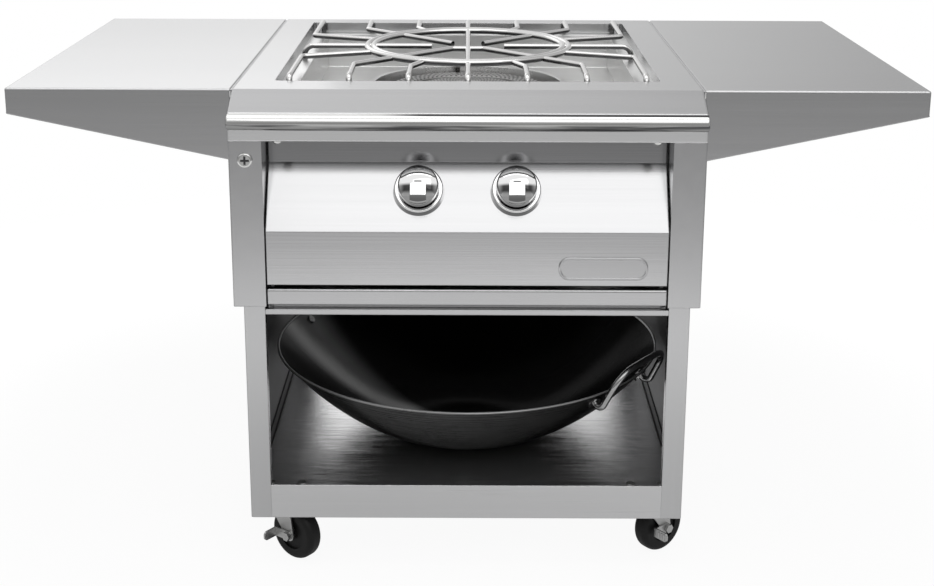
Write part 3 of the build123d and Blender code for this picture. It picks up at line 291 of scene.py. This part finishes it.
def brushed(name, axis, dark, light, gloss, spread, zones=(), brush=(0.06, 0.0002, FINE), **sockets):
    """Brushed steel whose lines run along one axis, with its folds and cut edges just rounded.

    Each zone is a mask, the tone the steel has there, and how matt and how dull it is.
    """
    material, shader, tree = finish(name, Metallic=1.0, **sockets)
    strength, deep, fine = brush
    line = streaks(tree, [ALONG if i == axis else fine for i in range(3)])
    band = streaks(tree, [ALONG / 3 if i == axis else BROAD for i in range(3)])
    smear = patches(tree, WIPED, 4.0)
    grain = line * 0.5 + band * 0.5
    colour = grain.blend(dark, light)
    rough = grain * spread + smear * WIPED_ROUGH + (gloss - spread / 2 - WIPED_ROUGH / 2)
    metal = 1.0
    for mask, tone, matt, dull in zones:
        inside = mask(tree)
        colour = inside.blend(colour, tone)
        if matt:
            rough = rough + inside * dull
            metal = metal * (1 - inside * matt)
            feed(shader, "Metallic", metal)
    feed(shader, "Base Color", colour)
    feed(shader, "Roughness", rough)
    edge = tree.node("ShaderNodeBevel", {"samples": 4}, {"Radius": FOLD})
    ripple = {"Strength": strength, "Distance": deep, "Height": line, "Normal": edge}
    feed(shader, "Normal", tree.node("ShaderNodeBump", inputs=ripple))
    return material


SHEET_STEEL = ((0.49, 0.49, 0.495), (0.57, 0.57, 0.575), 0.21, 0.08)
dress(brushed("steel_brushed_across", 0, *SHEET_STEEL),
      ["drip_tray", "heat_shield", "back_panel", "left_shelf", "right_shelf", "badge_plate"])
dress(brushed("steel_brushed_deep", 1, *SHEET_STEEL),
      ["left_upper_side", "right_upper_side", "shelf_brackets", "tray_runners"])
dress(brushed("steel_brushed_up", 2, *SHEET_STEEL),
      ["front_left_post", "front_right_post", "rear_left_post", "rear_right_post", "venturi_tubes"])


# The lower bay has a plain steel wall at each side and stands on the floor pan, a sheet folded
# up at all four edges. What is kept there has scuffed the walls and the floor matt. The faces that look into
# the bay and the pan's seams are painted darker, as painted shade, and the top of the pan lighter, as painted
# light.
RECESS_SHADE_TONE = (0.16, 0.16, 0.165)
BAY_SHADE_TONE = (0.20, 0.20, 0.205)
BAY_TINT = (0.5, 0.5, 0.5, 1)
INWARD = (-0.2, -0.05)


def in_bay(tree):
    """One on the faces that look into the lower bay, which are painted darker as painted shade."""
    outward = tree.facing()[0] * tree.place()[0]
    return 1 - outward.rise(*INWARD)


steel_bay = brushed("steel_bay", 1, *SHEET_STEEL, [(in_bay, BAY_SHADE_TONE, 0.4, 0.25)], Specular_Tint=BAY_TINT)
dress(steel_bay, ["left_lower_side", "right_lower_side"])

FLOOR_STEEL = ((0.54, 0.54, 0.545), (0.64, 0.64, 0.645), 0.10, 0.05)
FLOOR_BRUSH = (1.0, 0.00014, 2500.0)
PAN_TOP_LIGHT_TONE = (0.82, 0.82, 0.825)
SEAM_SHADE_TONE = (0.02, 0.02, 0.02)
SEAM_WIDE = 0.005
SEAM_DEEP = 0.0025
PAN_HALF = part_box("base_pan")[1][0]
FLOOR_TOP = 0.092
FLANGE_TOP = 0.112
UPWARD = (0.7, 0.9)


def on_floor(tree):
    """One on the top of the floor pan, which is painted lighter as painted light, and made matt."""
    return tree.facing()[2].rise(*UPWARD)


def at_seam(tree):
    """One along the top of the pan's side flanges and in their folds, where shade is painted."""
    across, depth, height = tree.place()
    beside = abs(across).rise(PAN_HALF - SEAM_WIDE, PAN_HALF - SEAM_WIDE + 2 * SOFT)
    top = height.rise(FLANGE_TOP - SEAM_DEEP, FLANGE_TOP - SEAM_DEEP + SOFT)
    fold = 1 - height.rise(FLOOR_TOP + SEAM_DEEP - SOFT, FLOOR_TOP + SEAM_DEEP)
    return beside * tree.maths("MAXIMUM", top, fold)


# The zones paint shade on the pan's inward faces and seams, and light on its top.
FLOOR_ZONES = [
    (in_bay, RECESS_SHADE_TONE, 0.6, 0.5),
    (on_floor, PAN_TOP_LIGHT_TONE, 0.15, 0.0),
    (at_seam, SEAM_SHADE_TONE, 0.9, 0.5),
]
dress(brushed("steel_floor", 0, *FLOOR_STEEL, FLOOR_ZONES, FLOOR_BRUSH), ["base_pan"])


# The top deck is one folded sheet with a sloped nose, a skirt and the opening for the grate.
# Its front lip, below the rail, is painted brighter than the rest, as painted light.
LIP_FRONT = -0.315
LIP_TOP = 0.611
LIP_LIGHT_TONE = (0.86, 0.86, 0.865)


def on_lip(tree):
    """One on the deck's front lip, below the rail, where light is painted."""
    across, depth, height = tree.place()
    return (1 - height.rise(LIP_TOP, LIP_TOP + SOFT)) * (1 - depth.rise(LIP_FRONT - 2 * SOFT, LIP_FRONT))


dress(brushed("steel_deck", 0, *SHEET_STEEL, [(on_lip, LIP_LIGHT_TONE, 0.0, 0.0)]), ["top_deck"])


# The control panel is a folded sheet: an apron, a slope that carries the knobs, and an upright
# strip set back under the deck's lip. It is brushed finer and brighter than the body, and the strip is
# painted darker, as painted shade under the lip.
PANEL_STEEL = (*SHEET_STEEL[:2], 0.15, 0.06)
PANEL_BRUSH = (0.15, 0.0002, FINE)
STRIP_FOOT = 0.5575
STRIP_SHADE = 0.55


def under_lip(tree):
    """Part of one on the strip that stands back under the deck's lip, where shade is painted."""
    return tree.place()[2].rise(STRIP_FOOT - SOFT, STRIP_FOOT + 2 * SOFT) * STRIP_SHADE


steel_panel = brushed("steel_panel", 0, *PANEL_STEEL, [(under_lip, RECESS_SHADE_TONE, 0.0, 0.0)], PANEL_BRUSH)
dress(steel_panel, ["control_panel"])


# The firebox liner and the burner bowl are bright stainless sheet, satin on the inside. The
# liner hangs in the deck's opening, and the bowl stands on the liner's floor.
LINER_STEEL = ((0.78, 0.78, 0.775), (0.90, 0.90, 0.895), 0.31, 0.08)
BOWL_STEEL = ((0.84, 0.84, 0.835), (0.92, 0.92, 0.915), 0.28, 0.08)
dress(brushed("steel_liner", 0, *LINER_STEEL), ["firebox"])
dress(brushed("steel_bowl", 0, *BOWL_STEEL), ["burner_bowl"])


# The bullnose rail is a half-round channel of polished steel along the front of the deck. Its
# lower half, in uneven patches, and a line along its seam with the deck are painted dark, as painted shade.
PAINTED_SHADE_TONE = (0.08, 0.08, 0.082)
HANDLED = 18.0
HANDLED_SHADE = 0.86
FLECKED = 140.0


def polished(name, colour, gloss, dull=None):
    """Polished metal with soft handling marks, and a mask for where it is painted dark, as painted shade."""
    material, shader, tree = finish(name, Metallic=1.0)
    smear = patches(tree, HANDLED, 5.0)
    fleck = patches(tree, FLECKED, 2.0)
    shine = smear.blend(tuple(HANDLED_SHADE * c for c in colour), colour)
    if dull:
        clean = smear * (1 - HANDLED_SHADE) + HANDLED_SHADE
        shine = ((1 - dull(tree)) * clean).blend(PAINTED_SHADE_TONE, colour)
    feed(shader, "Base Color", shine)
    feed(shader, "Roughness", smear * 0.10 + fleck * 0.04 + gloss)
    return material


rail_low, rail_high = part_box("bullnose_rail")
RAIL_MIDDLE = (rail_low[2] + rail_high[2]) / 2
RAIL_TOP = rail_high[2]
RAIL_SHADE_PATCHES = (7.0, 7.0, 240.0)
RAIL_SEAM = 0.0022
SEAM_START = (-0.12, -0.05)


def rail_painted_shade(tree):
    """One where shade is painted: on the lower half of the rail, in uneven patches, and along its seam with
    the deck.
    """
    across, depth, height = tree.place()
    shade_patches = streaks(tree, RAIL_SHADE_PATCHES, 3.0).rise(0.4, 0.65)
    lower = (1 - height.rise(RAIL_MIDDLE - 2 * SOFT, RAIL_MIDDLE + SOFT)) * (shade_patches * 0.45 + 0.55)
    seam = height.rise(RAIL_TOP - RAIL_SEAM, RAIL_TOP - RAIL_SEAM + SOFT) * across.rise(*SEAM_START)
    return tree.maths("MAXIMUM", lower, seam)


dress(polished("rail_polish", (0.80, 0.80, 0.79), 0.05, rail_painted_shade), ["bullnose_rail"])


# The screws are round-headed and polished, and hold the shelf brackets, the deck's lip and the
# sleeve. The one on the front of the sleeve has its driving cross painted dark, as painted shade in a recess
# that is not cut.
FACE_SCREW = (0.2835, 0.572)
CROSS_LONG = 0.0058
CROSS_WIDE = 0.0016


def cross_recess(tree):
    """One in the driving cross of the screw on the front of the sleeve, where shade is painted."""
    across, depth, height = tree.place()
    side = abs(abs(across) - FACE_SCREW[0])
    rise = abs(height - FACE_SCREW[1])
    longer = tree.maths("MAXIMUM", side, rise).rise(CROSS_LONG - 0.5 * SOFT, CROSS_LONG)
    shorter = tree.maths("MINIMUM", side, rise).rise(CROSS_WIDE - 0.4 * SOFT, CROSS_WIDE)
    return (1 - longer) * (1 - shorter)


dress(polished("screw_polish", (0.74, 0.74, 0.73), 0.05, cross_recess), ["panel_screws"])


# The grate is welded from round stainless rod, bent down to feet that stand on the firebox
# ledge. It is polished, and its lower side is painted dark, as painted shade.
ROD_TURN = (-0.15, 0.45)


def rod_painted_shade(tree):
    """One on the lower side of the rods, where shade is painted."""
    return 1 - tree.facing()[2].rise(*ROD_TURN)


dress(polished("rod_polish", (0.72, 0.715, 0.71), 0.03, rod_painted_shade), ["grate"])


# The knobs and their bezels are die-cast and chrome plated. Each knob has a satin grip rib
# between two scoops. The scoops, the knob's lower part and a notch at the top of the rib are painted dark, as
# painted shade, so that the rib stands out.
dress(polished("bezel_chrome", (0.86, 0.86, 0.86), 0.02), ["knob_bezels"])

KNOB_SPOT = (0.0633, -0.2920, 0.5240)
KNOB_UP = (0.52527, 0.85094)
KNOB_OUT = (0.0, -0.85094, 0.52527)
KNOB_DARK = (0.02, 0.02, 0.02)
KNOB_BRIGHT = (0.95, 0.95, 0.95)
GRIP_HALF = 0.0098
GRIP_FOOT = -0.0145
GRIP_TOP = 0.001
SCOOP_FLOOR = (-0.014, -0.009)
SCOOP_EDGE = (0.017, 0.024)
NOTCH_SIDE = (0.004, 0.006)
NOTCH_FOOT = (0.0002, 0.0010)
NOTCH_TOP = (0.0024, 0.0032)
knob_chrome, knob_shader, tree = finish("knob_chrome", Metallic=1.0)
across, depth, height = tree.place()
off_middle = abs(abs(across) - KNOB_SPOT[0])
up = (depth - KNOB_SPOT[1]) * KNOB_UP[0] + (height - KNOB_SPOT[2]) * KNOB_UP[1]
beside = off_middle.rise(GRIP_HALF - 0.4 * SOFT, GRIP_HALF + 0.6 * SOFT)
below = 1 - up.rise(GRIP_TOP - 5 * SOFT, GRIP_TOP)
under = 1 - up.rise(GRIP_FOOT - 2 * SOFT, GRIP_FOOT)
notch = (1 - off_middle.rise(*NOTCH_SIDE)) * up.rise(*NOTCH_FOOT) * (1 - up.rise(*NOTCH_TOP))
scoop = beside * below * (up.rise(*SCOOP_FLOOR) * 0.4 + 0.55) * (1 - off_middle.rise(*SCOOP_EDGE) * 0.4)
# Painted shade: the scoops, the lower part and the notch are darkened.
knob_painted_shade = tree.maths("MAXIMUM", tree.maths("MAXIMUM", scoop, under * 0.6), notch * 0.9)
rib = (1 - beside) * below * (1 - under)
smear = patches(tree, 60.0, 4.0)
shine = (1 - knob_painted_shade) * (smear * 0.06 + 0.94)
feed(knob_shader, "Base Color", shine.blend(KNOB_DARK, KNOB_BRIGHT))
feed(knob_shader, "Roughness", smear * 0.05 + rib * 0.2 + 0.02)
turned = tree.node("ShaderNodeNewGeometry", output="Normal")
flat_rib = {"Factor": rib, 4: turned, 5: KNOB_OUT}
feed(knob_shader, "Normal", tree.node("ShaderNodeMix", {"data_type": "VECTOR"}, flat_rib, 1))
dress(knob_chrome, ["left_knob", "right_knob"])


# The two ring burners are cast iron with a thin scale, and stand in the bowl. Their tops are
# drilled with rows of small gas ports, which are painted as dark dots, as painted shade.
BURNER_MIDDLE = 0.04
BURNER_DARK = (0.34, 0.335, 0.33)
BURNER_LIGHT = (0.56, 0.555, 0.55)
PORT_ROWS = 0.010
PORT_COUNT = 72
PORT_SHADE_TONE = (0.02, 0.02, 0.02)


def ports(tree):
    """One in the small gas ports on the top of a ring, set in rows round its middle, where shade is painted.
    """
    across, depth, height = tree.place()
    depth = depth - BURNER_MIDDLE
    reach = tree.maths("SQRT", across * across + depth * depth)
    turn = tree.maths("SINE", tree.maths("ARCTAN2", depth, across) * PORT_COUNT)
    row = tree.maths("SINE", reach * (2 * math.pi / PORT_ROWS))
    return (turn * row).rise(0.15, 0.4) * tree.facing()[2].rise(0.6, 0.8)


burner_iron, burner_shader, tree = finish("burner_iron", Metallic=0.8)
scale = patches(tree, 35.0, 3.0)
cast = patches(tree, 420.0, 4.0)
metal = (scale * 0.6 + cast * 0.4).blend(BURNER_DARK, BURNER_LIGHT)
pitted = {"Strength": 0.3, "Distance": 0.0006, "Height": cast}
feed(burner_shader, "Base Color", ports(tree).blend(metal, PORT_SHADE_TONE))
feed(burner_shader, "Roughness", scale * 0.2 + 0.34)
feed(burner_shader, "Normal", tree.node("ShaderNodeBump", inputs=pitted))
dress(burner_iron, ["outer_burner", "inner_burner"])


# The gas train is brass valves and washers on a plain steel pipe, behind the panel. The
# igniter beside the burner is a rod of dark glazed ceramic.
def grainy(name, dark, light, rough, metal, size, height, **sockets):
    """Metal, rubber or ceramic with a fine grain and broad patches."""
    material, shader, tree = finish(name, Metallic=metal, **sockets)
    grain = patches(tree, size, 4.0)
    patch = patches(tree, size / 12, 3.0)
    pitted = {"Strength": 0.3, "Distance": height, "Height": grain}
    feed(shader, "Base Color", (grain * 0.5 + patch * 0.5).blend(dark, light))
    feed(shader, "Roughness", patch * 0.2 + (rough - 0.1))
    feed(shader, "Normal", tree.node("ShaderNodeBump", inputs=pitted))
    return material


BRASS = ((0.55, 0.40, 0.16), (0.76, 0.60, 0.30))
PIPE = ((0.34, 0.34, 0.35), (0.50, 0.50, 0.51))
GLAZE = ((0.020, 0.018, 0.016), (0.050, 0.046, 0.042))
dress(grainy("valve_brass", *BRASS, 0.32, 1.0, 500.0, 0.0001),
      ["gas_inlet_fitting", "left_gas_valve", "right_gas_valve", "left_thrust_washer", "right_thrust_washer"])
pipe_steel = grainy("pipe_steel", *PIPE, 0.36, 1.0, 300.0, 0.0002)
dress(pipe_steel, ["gas_manifold", "left_valve_stem", "right_valve_stem"])
dress(pipe_steel, ["left_return_spring", "right_return_spring"])
dress(grainy("igniter_ceramic", *GLAZE, 0.35, 0.0, 300.0, 0.0001), ["igniter"])


# The return springs are wound from round steel wire and stand in the wells of the gas valves.
# Each is one coil on its knob's axis.
SPRING_RADIUS = 0.0068
SPRING_WIRE = 0.0012
SPRING_TURNS = 5
SPRING_PITCH = 0.00438
SPRING_FOOT = -0.0301
SPRING_STEPS = 28
WIRE_SIDES = 10
MERGE = 0.00001
bpy.ops.object.select_all(action="DESELECT")
bpy.ops.mesh.primitive_circle_add(vertices=WIRE_SIDES, radius=SPRING_WIRE / 2,
                                  location=(SPRING_RADIUS, 0, 0), rotation=(math.pi / 2, 0, 0))
coil = bpy.context.object
bpy.ops.object.transform_apply(location=True, rotation=True, scale=True)
winding = coil.modifiers.new("winding", "SCREW")
winding.screw_offset = SPRING_PITCH
winding.iterations = SPRING_TURNS
winding.steps = SPRING_STEPS
winding.render_steps = SPRING_STEPS
bpy.ops.object.modifier_apply(modifier=winding.name)
bpy.ops.object.mode_set(mode="EDIT")
bpy.ops.mesh.select_all(action="SELECT")
bpy.ops.mesh.remove_doubles(threshold=MERGE)
bpy.ops.mesh.fill_holes(sides=0)
bpy.ops.mesh.normals_make_consistent(inside=False)
bpy.ops.object.mode_set(mode="OBJECT")
bpy.ops.object.shade_smooth()
along = Vector(KNOB_OUT).to_track_quat("Z", "Y").to_matrix().to_4x4()
for side, sign in (("left", -1), ("right", 1)):
    spring = coil.copy()
    spring.data = coil.data.copy()
    spring.name = side + "_spring_coil"
    scene.collection.objects.link(spring)
    middle = Vector((sign * KNOB_SPOT[0], KNOB_SPOT[1], KNOB_SPOT[2]))
    spring.data.transform(Matrix.Translation(middle + Vector(KNOB_OUT) * SPRING_FOOT) @ along)
    spring.data.materials.append(pipe_steel)
    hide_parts(side + "_return_spring")
    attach(spring, "cart")
    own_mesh(spring)
bpy.data.objects.remove(coil)


# The wok is pressed from thin carbon steel and blacked, with faint rings from spinning. Light is
# painted on it: a highlight band and a lighter side inside at the left, a lighter left side outside, painted
# shade where the outside turns aside or down, and a highlight along the rim.
WOK_MIDDLE = (0.0, -0.049, 0.0)
WOK_BALL = (0.0, -0.049, 0.452)
WOK_RIM = 0.2313
WOK_LOOK = {"Metallic": 0.6, "Specular_IOR_Level": 0.04, "Specular_Tint": (0.4, 0.4, 0.4, 1)}
RIM_HIGHLIGHT_TONE = 0.5
RING_COUNT = 600.0
GLINT_START = (0.05, 0.23)
GLINT_END = (0.34, 0.66)
GLINT_FOOT = (0.04, 0.10)
LIT_SIDE_START = (-1.2, -0.6)
LIT_SIDE_END = (0.0, 0.4)
SIDE_SHADE_SLANT = 0.34
SIDE_SHADE_EDGE = (-0.52, -0.40)
BURNT_TONE = 0.014
LIT_SIDE_TONE = 0.085
GLINT_TONE = 0.28
SIDE_SHADE_LEVEL = 0.3
OUTER_LIGHT_TONES = (0.25, 0.065)
OUTER_SPAN = (-0.22, 0.20)
OUTER_RINGS = 0.2
VECTOR = "ShaderNodeVectorMath"
wok_black, wok_shader, tree = finish("wok_black", **WOK_LOOK)
spot = tree.node("ShaderNodeTexCoord", output="Object")
flat = {"Vector": spot, "Location": tuple(-c for c in WOK_MIDDLE), "Scale": (1, 1, 0)}
reach = tree.node(VECTOR, {"operation": "LENGTH"}, {0: tree.node("ShaderNodeMapping", inputs=flat)}, "Value")
rings = {"W": reach * RING_COUNT, "Scale": 1.0, "Detail": 2.0}
ring = tree.node("ShaderNodeTexNoise", {"noise_dimensions": "1D"}, rings)
stain = patches(tree, 9.0, 5.0)
from_ball = tree.node(VECTOR, {"operation": "SUBTRACT"}, {0: spot, 1: WOK_BALL})
normal = tree.node("ShaderNodeNewGeometry", output="Normal")
outside = tree.node(VECTOR, {"operation": "DOT_PRODUCT"}, {0: normal, 1: from_ball}, "Value").rise(-0.1, 0.1)
across, depth, height = tree.place()
aside, ahead, upward = tree.facing()
# Painted highlights on the rim and in a band inside, painted light on the left, painted shade outside.
rim_highlight = height.rise(WOK_RIM - 2.2 * SOFT, WOK_RIM - 0.8 * SOFT)
turn = tree.maths("ARCTAN2", depth - WOK_MIDDLE[1], 0 - across)
glint = turn.rise(*GLINT_START) * (1 - turn.rise(*GLINT_END)) * reach.rise(*GLINT_FOOT)
lit_side = turn.rise(*LIT_SIDE_START) * (1 - turn.rise(*LIT_SIDE_END))
side_shade = (ahead + abs(aside) * SIDE_SHADE_SLANT).rise(*SIDE_SHADE_EDGE)
inside_black_and_light = glint.blend(lit_side.blend(BURNT_TONE, LIT_SIDE_TONE), GLINT_TONE)
outside_black_and_light = across.rise(*OUTER_SPAN).blend(*OUTER_LIGHT_TONES) * side_shade.blend(1.0, SIDE_SHADE_LEVEL)
black = outside.blend(inside_black_and_light, outside_black_and_light) * (stain * 0.6 + 0.7)
spun = {"Strength": 0.15, "Distance": 0.0003, "Height": ring * outside.blend(1.0, OUTER_RINGS)}
feed(wok_shader, "Base Color", rim_highlight.blend(black, RIM_HIGHLIGHT_TONE))
feed(wok_shader, "Roughness", ring * 0.08 + stain * 0.12 + outside * 0.08 + 0.10)
feed(wok_shader, "Normal", tree.node("ShaderNodeBump", inputs=spun))
dress(wok_black, ["wok"])


# The wok's two handles are bent from bright steel rod, and riveted through its wall.
# Handling has dulled them a little.
dress(polished("handle_steel", (0.46, 0.46, 0.46), 0.16), ["wok_front_handle", "wok_rear_handle"])


# The casters have zinc-plated forks and plates, black rubber wheels on axle bolts and, in
# front, stamped brake levers. Bolts hold the plates under the floor pan.
CORNERS = ("front_left", "front_right", "rear_left", "rear_right")
ZINC = ((0.42, 0.42, 0.42), (0.58, 0.58, 0.57))
RUBBER = ((0.006, 0.006, 0.006), (0.014, 0.014, 0.014))
zinc = grainy("caster_zinc", *ZINC, 0.34, 1.0, 220.0, 0.0001)
rubber = grainy("wheel_rubber", *RUBBER, 0.50, 0.0, 260.0, 0.0003, Specular_IOR_Level=0.25)
dress(zinc, ["caster_plates", "caster_bolts", "front_left_brake", "front_right_brake"])
dress(zinc, [corner + piece for corner in CORNERS for piece in ("_fork", "_axle")])
dress(rubber, [corner + "_wheel" for corner in CORNERS])
